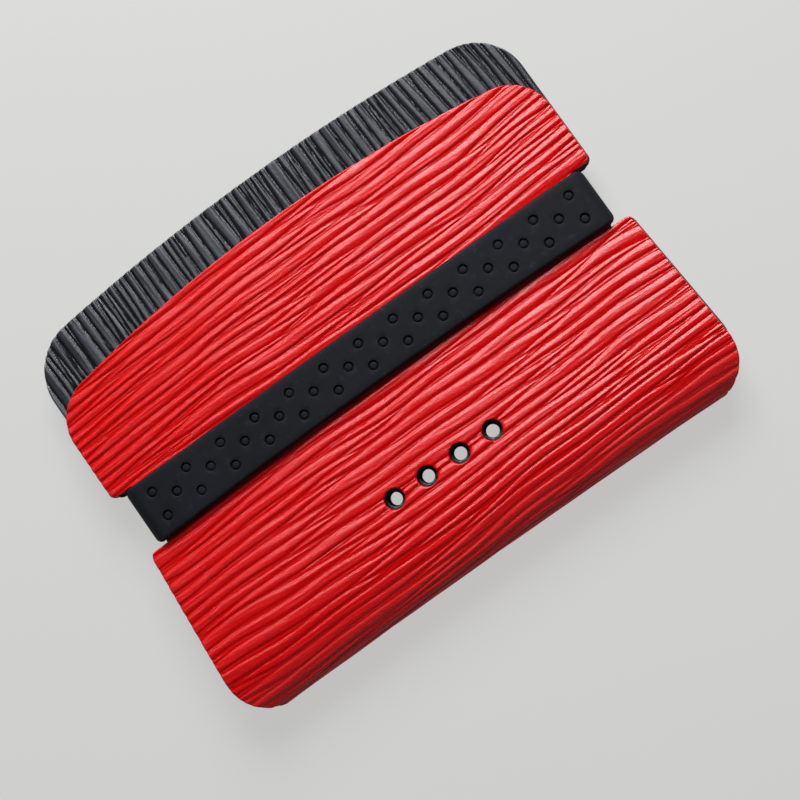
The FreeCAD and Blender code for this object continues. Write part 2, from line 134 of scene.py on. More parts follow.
# The fold and the band bow up in the middle: by how much, at these heights above the fold.
BOW_RISES = (0.0, 34.5 * MM, 44.9 * MM, 62 * MM)
BOW_HEIGHTS = (0.55 * MM, 0.60 * MM, 0.30 * MM, 0.0)
BOW_HALF_WIDTH = 50 * MM

BAND_HALF_WIDTH = BAND_HIGH[X]
BAND_HALF_HEIGHT = BAND_HIGH[Z] - MID_Z
BAND_HALF_SPAN = (BAND_HIGH[Y] - BAND_LOW[Y]) / 2
BAND_EDGE_ROUND = 0.55 * MM
BAND_INNER_RADIUS = 0.25 * MM
SKIN_HALF_SPAN = BAND_HALF_SPAN - BAND_EDGE_ROUND
BAND_NIP = 1.0 * MM  # how far the band's edges curve in where it turns over the wallet's sides
BAND_END_DROOP = 0.4 * MM  # how much lower its lower edge is at the ends
BAND_LONG_STEPS = 46  # steps along half a flat face
BAND_CORNER_STEPS = 10
BAND_END_STEPS = 6
BAND_RIM_STEPS = 6
SKIN_ROWS, INSIDE_ROWS = 11, 7
DIMPLE_RADIUS = 0.85 * MM
DIMPLE_DEPTH = 0.45 * MM
DIMPLE_PITCH = 7.1 * MM
DIMPLE_ROWS = (-2.3 * MM, 0.0, 2.3 * MM)
DIMPLE_SIDES = 28
DIMPLE_CLEAR = 1.12  # no point of the plain grid lies within this share of a dimple's outer ring
DIMPLE_END_ROOM = 1.3  # how many radii the outermost dimples keep from the band's turns
# Rings of a dimple, as shares of its radius and of its depth: a moat round a low button.
DIMPLE_PROFILE = (
    (1.14, 0.0), (1.03, 0.06), (0.99, 0.50), (0.94, 1.0), (0.84, 0.95), (0.74, 0.62), (0.40, 0.55),
)

# Scales of the leather's noises, per metre.
PORES, SPECKLES, BLOTCHES, STREAKS = 3300.0, 3400.0, 90.0, 1900.0
RUBBED_LOW, RUBBED_HIGH = FOLD_Y + 0.8 * MM, FOLD_Y + 7.5 * MM  # the fold is rubbed matt between
RUBBED_ROUGH = 0.45

FLOOR_HALF = 1.5
FLOOR_GLOW = 0.52
KEY_PLACE, KEY_SIZE, KEY_POWER = (0.13, 0.29, 0.27), 0.26, 3.6
FILL_PLACE, FILL_SIZE, FILL_POWER = (-0.45, 0.05, 0.45), 0.5, 0.06
ROOM_PALE, ROOM_DIM = 0.62, 0.05
ROOM_DIM_FROM = 0.30  # the sine of the elevation above which it is dim
CAMERA_PLACE = (0.0101, -0.0261, 0.2601)
CAMERA_FORWARD = (-0.039, 0.073, -0.997)
CAMERA_ROLL = 35.2
CAMERA_FOCAL = 1.895  # focal length as a share of the frame's width
SENSOR_WIDTH = 36.0


# ---------------------------------------------------------------- small helpers


def add_object(name, data):
    """A new object in the scene, of a mesh, lamp or camera."""
    item = bpy.data.objects.new(name, data)
    bpy.context.scene.collection.objects.link(item)
    return item


def smoothstep(low, high, value):
    """0 below low, 1 above high, and smooth between."""
    t = np.clip((value - low) / (high - low), 0, 1)
    return t * t * (3 - 2 * t)


def arc(centre, radius, first, last, step=EDGE_STEP):
    """Points along an arc of a circle, in the order of its angles."""
    count = max(3, int(abs(last - first) * radius / step) + 1)
    angles = np.linspace(first, last, count)
    return [(centre[0] + radius * math.cos(a), centre[1] + radius * math.sin(a)) for a in angles]


def spread(points, step=EDGE_STEP):
    """The same polyline with points no further apart than the step, and no repeated point."""
    result = [tuple(points[0])]
    for (ax, ay), (bx, by) in zip(points, points[1:]):
        length = math.hypot(bx - ax, by - ay)
        if length < 1e-7:
            continue
        count = max(1, math.ceil(length / step))
        result += [(ax + (bx - ax) * i / count, ay + (by - ay) * i / count) for i in range(1, count + 1)]
    return result


class Waves:
    """A smooth random field: a few sine waves of random direction and phase."""

    def __init__(self, seed, length_x, length_y, count=7):
        random = np.random.default_rng(seed)
        self.fx = random.normal(0, 1, count) * 2 * math.pi / length_x
        self.fy = random.normal(0, 1, count) * 2 * math.pi / length_y
        self.phase = random.uniform(0, 2 * math.pi, count)

    def __call__(self, x, y):
        total = sum(np.sin(fx * x + fy * y + p) for fx, fy, p in zip(self.fx, self.fy, self.phase))
        return total / math.sqrt(len(self.phase) / 2)


# ----------------------------------------------------------- the folded profile


class Profile:
    """The shell's outer surface seen along X.  A point of any layer lies at some distance s along
    it, from above the front leaf, and some depth under it."""

    SAMPLE = 0.02 * MM
    SOFTEN = 0.9 * MM  # the spread of the blur that rounds its corners
    BEYOND = 12 * MM  # how far it goes on past the sleeve's top

    def __init__(self):
        drop = SHOULDER_RADIUS - BULGE
        tip_y = FOLD_Y + TIP_RADIUS
        shoulder_y = tip_y + math.sqrt((SHOULDER_RADIUS - TIP_RADIUS) ** 2 - drop**2)
        reach, climb = FLAT_START_Y - shoulder_y, FLAT_HALF_STACK + drop
        lean = math.atan2(reach, climb) - math.acos(SHOULDER_RADIUS / math.hypot(reach, climb))
        tip_angle = math.atan2(drop, tip_y - shoulder_y)
        front = [(BLACK_TOP_Y + self.BEYOND, FLAT_HALF_STACK), (FLAT_START_Y, FLAT_HALF_STACK)]
        front += arc((shoulder_y, -drop), SHOULDER_RADIUS, math.pi / 2 - lean, tip_angle, self.SAMPLE)
        front += arc((tip_y, 0), TIP_RADIUS, tip_angle, math.pi, self.SAMPLE)
        back = [(y, -z) for y, z in reversed(front)]
        line = np.array(spread(front + back[1:], self.SAMPLE))
        lengths = np.concatenate([[0], np.cumsum(np.hypot(*np.diff(line, axis=0).T))])
        self.s = np.arange(0, lengths[-1], self.SAMPLE)
        raw = np.stack([np.interp(self.s, lengths, line[:, i]) for i in (0, 1)], 1)
        # Leather doesn't crease where the straight runs meet the arcs, so the line is softened.
        width = int(3 * self.SOFTEN / self.SAMPLE)
        kernel = np.exp(-0.5 * (np.arange(-width, width + 1) * self.SAMPLE / self.SOFTEN) ** 2)
        kernel /= kernel.sum()
        padded = np.pad(raw, ((width, width), (0, 0)), mode="reflect", reflect_type="odd")
        soft = np.stack([np.convolve(padded[:, i], kernel, mode="valid") for i in (0, 1)], 1)
        self.y, self.z = soft[:, 0], soft[:, 1]
        along = np.gradient(soft, axis=0)
        along /= np.linalg.norm(along, axis=1)[:, None]
        self.normal_y, self.normal_z = along[:, 1], -along[:, 0]
        self.middle = len(self.s) // 2
        self.s_tip = self.s[self.middle]

    def place(self, s, depth):
        """The Y and Z of a point at that distance and depth."""
        y = np.interp(s, self.s, self.y) - depth * np.interp(s, self.s, self.normal_y)
        z = np.interp(s, self.s, self.z) - depth * np.interp(s, self.s, self.normal_z)
        return y, z + MID_Z

    def front_s(self, y, depth=0.0):
        """The distance at which a layer's front leaf reaches a height Y."""
        rows = slice(0, self.middle)
        heights = self.y[rows] - depth * self.normal_y[rows]
        return np.interp(-np.asarray(y), -heights, self.s[rows])

    def back_s(self, y, depth=0.0):
        """The same on the back leaf, which mirrors the front."""
        return 2 * self.s_tip - self.front_s(y, depth)


PROFILE = Profile()


# --------------------------------------------------------------------- outlines


class Outline:
    """One sheet's cut outline: half its width at any height, its notches and its arched top."""

    def __init__(self, half_width, top_y, arch_radius, corner_radius, fold_y, notch=NOTCH_HALF_WIDTH):
        self.half_width = half_width
        self.lower = half_width + FLARE
        self.corner_radius = corner_radius
        self.notch = notch
        self.top_y = top_y
        self.arch_radius = arch_radius
        self.base_y = fold_y - FOLD_MARGIN

    def top(self):
        """From the middle of the arch, round the corner and down to the notch."""
        corner_x = self.half_width - self.corner_radius
        arch_y = self.top_y - self.arch_radius
        corner_y = arch_y + math.sqrt((self.arch_radius - self.corner_radius) ** 2 - corner_x**2)
        meeting = math.atan2(corner_y - arch_y, corner_x)
        points = arc((0, arch_y), self.arch_radius, math.pi / 2, meeting)
        points += arc((corner_x, corner_y), self.corner_radius, meeting, 0)
        small = NOTCH_CORNER_RADIUS
        points += arc(
            (self.half_width - small, NOTCH_HIGH_Y + small), small, 0, -math.pi / 2, NOTCH_STEP
        )
        return points + [(self.notch, NOTCH_HIGH_Y)]

    def hip(self):
        """From the foot of the notch, out along its lower wall and round the corner."""
        small = NOTCH_CORNER_RADIUS
        return [(self.notch, NOTCH_LOW_Y)] + arc(
            (self.half_width - small, NOTCH_LOW_Y - small), small, math.pi / 2, 0, NOTCH_STEP
        )

    def side(self, y):
        """Half the width between the notch and the fold, where the corners curve in."""
        share = np.clip((NOTCH_LOW_Y - y) / (NOTCH_LOW_Y - self.base_y), 0, 1)
        straight = self.half_width + (self.lower - self.half_width) * share
        centre = self.base_y + FOLD_CORNER_RADIUS
        below = np.clip(centre - y, 0, FOLD_CORNER_RADIUS)
        return straight - FOLD_CORNER_RADIUS + np.sqrt(FOLD_CORNER_RADIUS**2 - below**2)


def front_chain(outline, depth):
    """The right half of a sheet's outline from the middle of the front leaf's top, down round the
    fold, and up the back leaf to a seam that the band hides."""
    front = [(x, float(PROFILE.front_s(y, depth))) for x, y in outline.top() + outline.hip()]
    low = NOTCH_LOW_Y - NOTCH_CORNER_RADIUS
    rows = np.arange(PROFILE.front_s(low, depth), PROFILE.back_s(low, depth), EDGE_STEP)
    heights = PROFILE.place(rows, depth)[0]
    sides = list(zip(outline.side(heights), rows))
    back = [(x, float(PROFILE.back_s(y, depth))) for x, y in reversed(outline.hip())]
    seam = float(PROFILE.back_s(BAND_MID_Y, depth))
    return spread(front + sides[1:] + back + [(outline.notch, seam), (0, seam)])


def back_chain(outline, depth):
    """The right half of the back leaf's outline, from that seam to the middle of its top."""
    seam = float(PROFILE.back_s(BAND_MID_Y, depth))
    top = [(x, float(PROFILE.back_s(y, depth))) for x, y in reversed(outline.top())]
    return spread([(0, seam), (outline.notch, seam)] + top)


def mirrored(chain):
    """A closed outline from its right half."""
    return np.array(chain + [(-x, s) for x, s in reversed(chain[1:-1])])


def holes_through(depth, radius, shift=0.0):
    """The holes through both leaves of a layer: each a centre and a radius."""
    rows = [float(PROFILE.front_s(HOLE_Y, depth)), float(PROFILE.back_s(HOLE_Y, depth))]
    places = [(index - (HOLE_COUNT - 1) / 2) * HOLE_PITCH for index in range(HOLE_COUNT)]
    return [((x - shift, row), radius) for row in rows for x in places]


# --------------------------------------------------------------- leather relief


class Ribs:
    """Embossed ribs.  Each is a long lens between two grooves, as in a honeycomb that is stretched
    many times over, so that ribs taper and merge at shallow angles.  A fine rib lies in a groove.
    length and pitch are of the lenses, sway and lean move them across, flank is how wide the slope
    of a rib is, and fine_half is the mean half width of a fine rib."""

    ROWS, COLUMNS = 256, 16  # the random table repeats after these
    ROW_OFFSETS = (0.32, 0.68)  # how far each row starts past the last, in columns
    JITTER_ALONG, JITTER_ACROSS = 0.08, 0.13
    WOBBLE = 0.16
    FINE_HEIGHT = 0.30
    FINE_SPREAD = 0.12 * MM  # how much the fine rib's half width varies
    FINE_MOST = 0.28 * MM
    FINE_WHOLE = 0.2 * MM  # the half width at which it has its whole height

    def __init__(self, seed, pitch, length, sway, lean, flank, fine_half):
        random = np.random.default_rng(seed)
        self.pitch = pitch
        self.sway = sway
        self.lean = lean
        self.flank = flank
        self.fine_half = fine_half
        self.stretch = 0.866 * length / pitch
        self.column = 1.5 * length
        shape = (self.COLUMNS, self.ROWS)
        self.offsets = np.cumsum(random.uniform(*self.ROW_OFFSETS, self.ROWS)) % 1
        along, across = self.JITTER_ALONG, self.JITTER_ACROSS
        self.jitter_along = random.uniform(-along, along, shape) * self.column
        self.jitter_across = random.uniform(-across, across, shape) * pitch
        self.bend = Waves(seed + 1, 150 * MM, 60 * MM)
        self.wobble = Waves(seed + 2, 60 * MM, 16 * MM)
        self.tall = Waves(seed + 3, 26 * MM, 2.2 * MM)
        self.fine = Waves(seed + 4, 30 * MM, 2.4 * MM)

    def seeds(self, along, across):
        """The middles of the ribs round each point: along, and across with the stretch."""
        row = np.round(2 * across / self.pitch).astype(int)
        for row_step in range(-3, 4):
            j = row + row_step
            offset = self.offsets[j % self.ROWS]
            column = np.round(along / self.column - offset).astype(int)
            for column_step in (-1, 0, 1):
                i = column + column_step
                place = (i % self.COLUMNS, j % self.ROWS)
                seed_along = (i + offset) * self.column + self.jitter_along[place]
                seed_across = j * self.pitch / 2 + self.jitter_across[place]
                yield seed_along, seed_across * self.stretch

    def groove_distance(self, along, across):
        """How far each point is from the nearest groove, measured across the ribs."""
        up = across * self.stretch
        nearest = np.full(len(along), 1e9)
        own_along, own_up = np.zeros(len(along)), np.zeros(len(along))
        for seed_along, seed_up in self.seeds(along, across):
            distance = np.hypot(along - seed_along, up - seed_up)
            closer = distance < nearest
            nearest = np.where(closer, distance, nearest)
            own_along = np.where(closer, seed_along, own_along)
            own_up = np.where(closer, seed_up, own_up)
        gap = np.full(len(along), 1e9)
        for seed_along, seed_up in self.seeds(along, across):
            da, du = seed_along - own_along, seed_up - own_up
            length = np.hypot(da, du)
            other = length > 1e-9
            length = np.where(other, length, 1.0)
            to_middle = ((own_along + da / 2 - along) * da + (own_up + du / 2 - up) * du) / length
            lean = np.maximum(np.abs(du) / length, 0.3)
            gap = np.where(other, np.minimum(gap, to_middle / lean), gap)
        return gap / self.stretch

    def __call__(self, along, across):
        """The height of the ribs, from 0 in the grooves to about 1 on the crests."""
        sway = self.bend(along, across) + self.WOBBLE * self.wobble(along, across)
        moved = across + self.sway * sway + self.lean * along
        gap = self.groove_distance(along, moved)
        fine_half = self.fine_half + self.FINE_SPREAD * self.fine(along, moved)
        fine_half = np.clip(fine_half, 0.001 * MM, self.FINE_MOST)
        climb = np.clip((gap - fine_half) / self.flank, 0, 1)
        crest = (1 - (1 - climb) ** 2) * np.clip(0.92 + 0.08 * self.tall(along, moved), 0.6, 1.05)
        fine = self.FINE_HEIGHT * np.clip(1 - (gap / fine_half) ** 2, 0, 1)
        fine *= np.minimum(fine_half / self.FINE_WHOLE, 1)
        return np.where(gap > fine_half, crest, fine)


# ----------------------------------------------------------------- sheet meshes


def bowed(x, y):
    """The height Y of a point, once the fold and the band bow up a little in their middle."""
    middle = np.clip(1 - (x / BOW_HALF_WIDTH) ** 2, 0, 1)
    return y + middle * np.interp(y - FOLD_Y, BOW_RISES, BOW_HEIGHTS)


def runs_left(loop):
    """Whether a closed loop runs anticlockwise."""
    following = np.roll(loop, -1, axis=0)
    return np.sum(loop[:, 0] * following[:, 1] - following[:, 0] * loop[:, 1]) > 0


def inward(loop):
    """The inward unit normals of a closed loop that runs either way round."""
    along = np.roll(loop, -1, axis=0) - np.roll(loop, 1, axis=0)
    along /= np.maximum(np.linalg.norm(along, axis=1), 1e-12)[:, None]
    normal = np.stack([-along[:, 1], along[:, 0]], 1)
    return normal if runs_left(loop) else -normal


def circle(centre, radius):
    """A closed round loop."""
    angles = np.linspace(0, 2 * math.pi, HOLE_SIDES, endpoint=False)
    return np.stack([centre[0] + radius * np.cos(angles), centre[1] + radius * np.sin(angles)], 1)


def grid_inside(loop, holes, areas, margin, hole_margin):
    """Points of a grid inside a loop and outside the holes, all clear of their edges.  Each of the
    areas lies between two distances s, and has its own steps in X and s."""
    shrunk = loop + inward(loop) * margin
    following = np.roll(shrunk, -1, axis=0)
    low, high = shrunk[:, 1].min(), shrunk[:, 1].max()
    points = []
    for first_s, last_s, step_x, step_s in areas:
        for s in np.arange(max(low, first_s) + step_s / 2, min(high, last_s), step_s):
            crossing = (shrunk[:, 1] <= s) != (following[:, 1] <= s)
            a, b = shrunk[crossing], following[crossing]
            cuts = np.sort(a[:, 0] + (b[:, 0] - a[:, 0]) * (s - a[:, 1]) / (b[:, 1] - a[:, 1]))
            for left, right in zip(cuts[::2], cuts[1::2]):
                xs = np.arange(math.ceil(left / step_x), math.floor(right / step_x) + 1) * step_x
                points.append(np.stack([xs, np.full(len(xs), s)], 1))
    points = np.concatenate(points)
    for centre, radius in holes:
        points = points[np.hypot(*(points - centre).T) > radius + hole_margin]
    return points


def enclosed(points, loops):
    """Whether each point is inside the first loop and outside the others."""
    crossings = np.zeros(len(points), int)
    for loop in loops:
        for (ax, ay), (bx, by) in zip(loop, np.roll(loop, -1, axis=0)):
            if ay == by:
                continue
            level = (ay <= points[:, 1]) != (by <= points[:, 1])
            crossings += level & (points[:, 0] < ax + (bx - ax) * (points[:, 1] - ay) / (by - ay))
    return crossings % 2 == 1


def triangulate(loops, extra, steps):
    """Triangles that fill the first loop and leave the others open, with the loops' points first."""
    points = np.concatenate(list(loops) + [extra])
    edges, start = [], 0
    for loop in loops:
        edges += [(start + i, start + (i + 1) % len(loop)) for i in range(len(loop))]
        start += len(loop)
    scaled = points / np.array(steps)
    found = delaunay_2d_cdt([Vector(p) for p in scaled], edges, [], 1, 1e-6, False)
    places = np.array([tuple(p) for p in found[0]])
    assert len(places) == len(points) and np.abs(places - scaled).max() < 1e-3, "points were merged"
    faces = np.array([tuple(face) for face in found[2]])
    on_rim = (faces < start).all(axis=1)
    keep = np.ones(len(faces), bool)
    keep[on_rim] = enclosed(points[faces[on_rim]].mean(axis=1), loops)
    return points, faces[keep]


def make_mesh(name, vertices, faces, slots, relief=None):
    """A mesh object with smooth faces, sharp cut edges, and a relief value for its material."""
    mesh = bpy.data.meshes.new(name)
    mesh.from_pydata(vertices.tolist(), [], faces)
    mesh.polygons.foreach_set("use_smooth", np.ones(len(mesh.polygons), bool))
    mesh.polygons.foreach_set("material_index", np.asarray(slots, np.int32))
    if relief is not None:
        attribute = mesh.attributes.new("relief", "FLOAT", "POINT")
        attribute.data.foreach_set("value", relief.astype(np.float32))
    mesh.update()
    mesh.set_sharp_from_angle(angle=SHARP_ANGLE)
    return add_object(name, mesh)


def edge_drop(inside):
    """How far a cut edge's round falls below the face, at a distance inside the edge."""
    return EDGE_ROUND - math.sqrt(max(EDGE_ROUND**2 - max(EDGE_ROUND - inside, 0) ** 2, 0))


def face_rings(loops):
    """Rows of points just inside the rims, and how far the edge's round lowers each of them."""
    rings, drops = [], []
    for index, loop in enumerate(loops):
        side = inward(loop) * (1 if index == 0 else -1)
        for inside in EDGE_RINGS if index == 0 else HOLE_RINGS:
            rings.append(loop + side * inside)
            drops.append(np.full(len(loop), edge_drop(inside)))
    return np.concatenate(rings), np.concatenate(drops)


def sheet_face(loops, holes, depth, relief, areas, pinch):
    """A sheet's outer face: its points, their depth and relief, and its triangles."""
    rings, ring_drop = face_rings(loops)
    grid = grid_inside(loops[0], holes, areas, CLEAR_OF_EDGE, HOLE_RINGS[-1] + CLEAR_OF_RINGS)
    points, faces = triangulate(loops, np.concatenate([rings, grid]), areas[0][2:])
    rim_drop = np.full(sum(len(loop) for loop in loops), edge_drop(0))
    drop = np.concatenate([rim_drop, ring_drop, np.zeros(len(grid))])
    x, s = points.T
    pressure = band_pressure(PROFILE.place(s, depth)[0])
    face_depth = depth + drop + pinch * pressure
    height = np.zeros(len(x))
    if relief:
        height = relief(x, s)
        face_depth = face_depth - (height - MEAN_RIB) * (1 - BAND_FLATTENS * pressure) * RIB_HEIGHT
    return points, face_depth, height, faces


def cut_walls(loops, middle_start, under_start):
    """The faces of the cut edges, in two rows that meet in the edge's middle."""
    walls, start = [], 0
    for index, loop in enumerate(loops):
        count = len(loop)
        forward = runs_left(loop) == (index == 0)
        for i in range(count):
            a, b = start + i, start + (i + 1) % count
            if not forward:
                a, b = b, a
            walls.append((b, a, middle_start + a, middle_start + b))
            walls.append((middle_start + b, middle_start + a, under_start + a, under_start + b))
        start += count
    return walls


def on_sheet(points, depth, shift):
    """The places in space of a sheet's points, given as rows of x and s."""
    x, s = points.T
    y, z = PROFILE.place(s, depth)
    return np.stack([x + shift, bowed(x, y), z], 1)


def leather_sheet(name, chain, holes, areas, depths, relief, skins, shift=0.0, pinch=0.0):
    """A folded sheet of leather as one closed mesh: a face with ribs, a smooth face under it, and a
    cut edge between them.  depths are those two faces' depths.  skins are the materials of the
    face, of the cut edge and of the face under it.  relief(x, s) is the height of the ribs."""
    depth, under_depth = depths
    loops = [mirrored(chain)] + [circle(centre, radius) for centre, radius in holes]
    points, face_depth, height, faces = sheet_face(loops, holes, depth, relief, areas, pinch)
    face = on_sheet(points, face_depth, shift)

    spacing = COARSE_STEP * 0.4
    under_grid = grid_inside(loops[0], holes, [EVERYWHERE_COARSE], spacing, spacing)
    under_points, under_faces = triangulate(loops, under_grid, (COARSE_STEP, COARSE_STEP))
    under = on_sheet(under_points, under_depth, shift)

    outward = np.concatenate([inward(loop) * (-1 if i == 0 else 1) for i, loop in enumerate(loops)])
    rim = len(outward)
    middle_depth = (face_depth[:rim] + under_depth) / 2
    middle = on_sheet(points[:rim] + outward * EDGE_BULGE, middle_depth, shift)

    under_start, middle_start = len(face), len(face) + len(under)
    walls = cut_walls(loops, middle_start, under_start)
    all_faces = [tuple(triangle) for triangle in faces]
    all_faces += [tuple(under_start + i for i in triangle[::-1]) for triangle in under_faces]
    all_faces += walls
    slots = [0] * len(faces) + [2] * len(under_faces) + [1] * len(walls)
    value = np.concatenate([height, np.zeros(len(under) + len(middle))])
    vertices = np.concatenate([face, under, middle])
    # x across and s down the front make a face that looks inward, so every face is turned over.
    piece = make_mesh(name, vertices, [corners[::-1] for corners in all_faces], slots, value)
    for skin in skins:
        piece.data.materials.append(skin)
    return piece


def band_pressure(y):
    """1 under the band, fading out beside it."""
    rising = smoothstep(BAND_LOW[Y] - BAND_PINCH_FADE, BAND_LOW[Y] + BAND_PINCH_INSIDE, y)
    falling = smoothstep(BAND_HIGH[Y] - BAND_PINCH_INSIDE, BAND_HIGH[Y] + BAND_PINCH_FADE, y)
    return rising * (1 - falling)


# -------------------------------------------------------------------- materials


class Nodes:
    """A short way to build a material's node tree.  Noise scales are per metre."""

    def __init__(self, name):
        self.material = bpy.data.materials.new(name)
        self.material.use_nodes = True
        self.tree = self.material.node_tree
        self.shader = self.tree.nodes["Principled BSDF"]

    def add(self, kind, inputs=None, **settings):
        node = self.tree.nodes.new(kind)
        for key, value in settings.items():
            setattr(node, key, value)
        for key, value in (inputs or {}).items():
            self.set(node, key, value)
        return node

    def set(self, node, key, value):
        if isinstance(value, bpy.types.NodeSocket):
            self.tree.links.new(value, node.inputs[key])
        else:
            node.inputs[key].default_value = value

    def shade(self, **inputs):
        for key, value in inputs.items():
            self.set(self.shader, key.replace("_", " "), value)

    def noise(self, place, scale, detail, roughness=0.5, stretch=None):
        if stretch:
            place = self.add("ShaderNodeMapping", {"Vector": place, "Scale": stretch}).outputs["Vector"]
        inputs = {"Vector": place, "Scale": scale, "Detail": detail, "Roughness": roughness}
        return self.add("ShaderNodeTexNoise", inputs).outputs["Fac"]

    def ramp(self, value, low, high, out_low, out_high):
        inputs = {"Value": value, "From Min": low, "From Max": high, "To Min": out_low, "To Max": out_high}
        return self.add("ShaderNodeMapRange", inputs).outputs["Result"]

    def mix(self, share, first, second):
        node = self.add("ShaderNodeMix", data_type="RGBA")
        for socket, value in ((0, share), (6, first), (7, second)):
            self.set(node, socket, value)
        return node.outputs[2]

    def math(self, operation, first, second):
        node = self.add("ShaderNodeMath", operation=operation)
        for socket, value in ((0, first), (1, second)):
            self.set(node, socket, value)
        return node.outputs[0]

    def bump(self, height, distance, strength, normal=None):
        inputs = {"Height": height, "Distance": distance, "Strength": strength}
        if normal is not None:
            inputs["Normal"] = normal
        return self.add("ShaderNodeBump", inputs).outputs["Normal"]

    def place(self):
        return self.add("ShaderNodeTexCoord").outputs["Object"]


def colour(red, green, blue):
    """A colour from its usual 0 to 255 values."""
    linear = [((c / 255 + 0.055) / 1.055) ** 2.4 if c > 10 else c / 255 / 12.92 for c in (red, green, blue)]
    return (*linear, 1.0)


def ribbed_leather(name, colours, roughness, grain, shine, tint):
    """Grained leather whose colour is darker in the valleys, as painted shade, and paler on the crests,
    partly as rubbed wear and partly as a painted highlight.
    colours are of the valleys, flanks, crests and streaks, and roughness is of the valleys and crests."""
    valley, flank, crest, streak = colours
    nodes = Nodes(name)
    place = nodes.place()
    relief = nodes.add("ShaderNodeAttribute", attribute_name="relief").outputs["Fac"]
    pores = nodes.add(
        "ShaderNodeTexVoronoi", {"Vector": place, "Scale": PORES}, feature="DISTANCE_TO_EDGE"
    ).outputs["Distance"]
    speckle = nodes.noise(place, SPECKLES, 4.0, 0.6)
    blotch = nodes.noise(place, BLOTCHES, 3.0)

    # Painted shade: the valleys take a darker colour than the flanks.
    base = nodes.mix(nodes.ramp(relief, 0.05, 0.55, 0.0, 1.0), valley, flank)
    # The crests turn paler, partly as rubbed wear and partly as a painted highlight.
    wear_and_highlight = nodes.math("ADD", relief, nodes.ramp(speckle, 0.3, 0.7, -0.16, 0.16))
    wear_and_highlight = nodes.math("ADD", wear_and_highlight, nodes.ramp(blotch, 0.3, 0.7, -0.06, 0.06))
    base = nodes.mix(nodes.ramp(wear_and_highlight, 0.62, 1.08, 0.0, 1.0), base, crest)
    base = nodes.mix(nodes.ramp(speckle, 0.55, 0.75, 0.0, 0.5), base, valley)
    # Streaks, mostly on the crests: on the red leather a darker purplish red, painted shade of the grain,
    # and on the black a paler blue-grey.
    streaks = nodes.noise(place, STREAKS, 4.0, 0.7, stretch=(0.45, 1.0, 1.0))
    streaks = nodes.math("ADD", streaks, nodes.math("MULTIPLY", relief, 0.20))
    base = nodes.mix(nodes.ramp(streaks, 0.70, 0.83, 0.0, 0.45), base, streak)

    rough = nodes.ramp(relief, 0.1, 0.9, *roughness)
    rough = nodes.math("ADD", rough, nodes.ramp(speckle, 0.25, 0.75, -0.05, 0.05))
    height = nodes.add("ShaderNodeSeparateXYZ", {"Vector": place}).outputs["Y"]
    rubbed = nodes.ramp(height, RUBBED_LOW, RUBBED_HIGH, RUBBED_ROUGH, 0.0)
    rough = nodes.math("ADD", rough, rubbed)

    normal = nodes.bump(nodes.ramp(pores, 0.0, 0.35, 0.0, 1.0), grain * 0.3, 0.6)
    normal = nodes.bump(speckle, grain, 0.8, normal)
    nodes.shade(Base_Color=base, Roughness=rough, Normal=normal)
    nodes.shade(Specular_IOR_Level=shine, Specular_Tint=tint)
    return nodes.material


def cut_edge(name, core, light):
    """The raw fibres of a cut edge."""
    nodes = Nodes(name)
    fibres = nodes.noise(nodes.place(), 1500.0, 5.0, 0.65, (1.0, 1.0, 2.2))
    base = nodes.mix(nodes.ramp(fibres, 0.35, 0.7, 0.0, 1.0), core, light)
    normal = nodes.bump(fibres, 0.12 * MM, 0.8)
    nodes.shade(Base_Color=base, Roughness=0.9, Normal=normal, Specular_IOR_Level=0.05)
    return nodes.material


def flesh_side(name, dark, light):
    """The smooth, slightly napped inner face of leather or lining."""
    nodes = Nodes(name)
    place = nodes.place()
    nap = nodes.noise(place, 900.0, 5.0, 0.7)
    cloud = nodes.noise(place, 120.0, 2.0)
    base = nodes.mix(nodes.ramp(nodes.math("ADD", nap, cloud), 0.7, 1.3, 0.0, 1.0), dark, light)
    normal = nodes.bump(nap, 0.06 * MM, 0.6)
    nodes.shade(Base_Color=base, Roughness=0.85, Normal=normal, Specular_IOR_Level=0.12)
    return nodes.material


def silicone(name):
    """Matt blue-black silicone, with a moulded skin and a little lint."""
    nodes = Nodes(name)
    place = nodes.place()
    skin = nodes.noise(place, 2600.0, 4.0, 0.6)
    cloud = nodes.noise(place, 160.0, 3.0)
    dust = nodes.noise(place, 700.0, 6.0, 0.75)
    base = nodes.mix(nodes.ramp(cloud, 0.3, 0.7, 0.0, 1.0), colour(9, 12, 18), colour(15, 19, 26))
    base = nodes.mix(nodes.ramp(dust, 0.58, 0.76, 0.0, 0.6), base, colour(44, 49, 57))
    rough = nodes.ramp(cloud, 0.3, 0.7, 0.62, 0.74)
    normal = nodes.bump(skin, 0.025 * MM, 0.7)
    nodes.shade(Base_Color=base, Roughness=rough, Normal=normal, Specular_IOR_Level=0.16)
    return nodes.material


# Each leather's valley colour is darker, as painted shade, and its crest colour paler, partly as a painted
# highlight.
RED = ribbed_leather(
    "red_leather",
    (colour(176, 0, 1), colour(190, 0, 1), colour(192, 8, 12), colour(112, 22, 34)),
    roughness=(0.20, 0.31), grain=0.075 * MM, shine=0.44, tint=(1.0, 1.0, 1.0, 1.0),
)
BLACK = ribbed_leather(
    "black_leather",
    (colour(3, 3, 5), colour(10, 12, 17), colour(25, 29, 37), colour(46, 51, 60)),
    roughness=(0.24, 0.46), grain=0.055 * MM, shine=0.62, tint=(0.90, 0.94, 1.0, 1.0),
)
RED_EDGE = cut_edge("red_leather_edge", colour(9, 8, 9), colour(26, 10, 12))
BLACK_EDGE = cut_edge("black_leather_edge", colour(7, 7, 9), colour(20, 20, 23))
FLESH = flesh_side("black_flesh_side", colour(16, 16, 18), colour(34, 34, 38))
SILICONE = silicone("black_silicone")


# ----------------------------------------------------------- the leather pieces


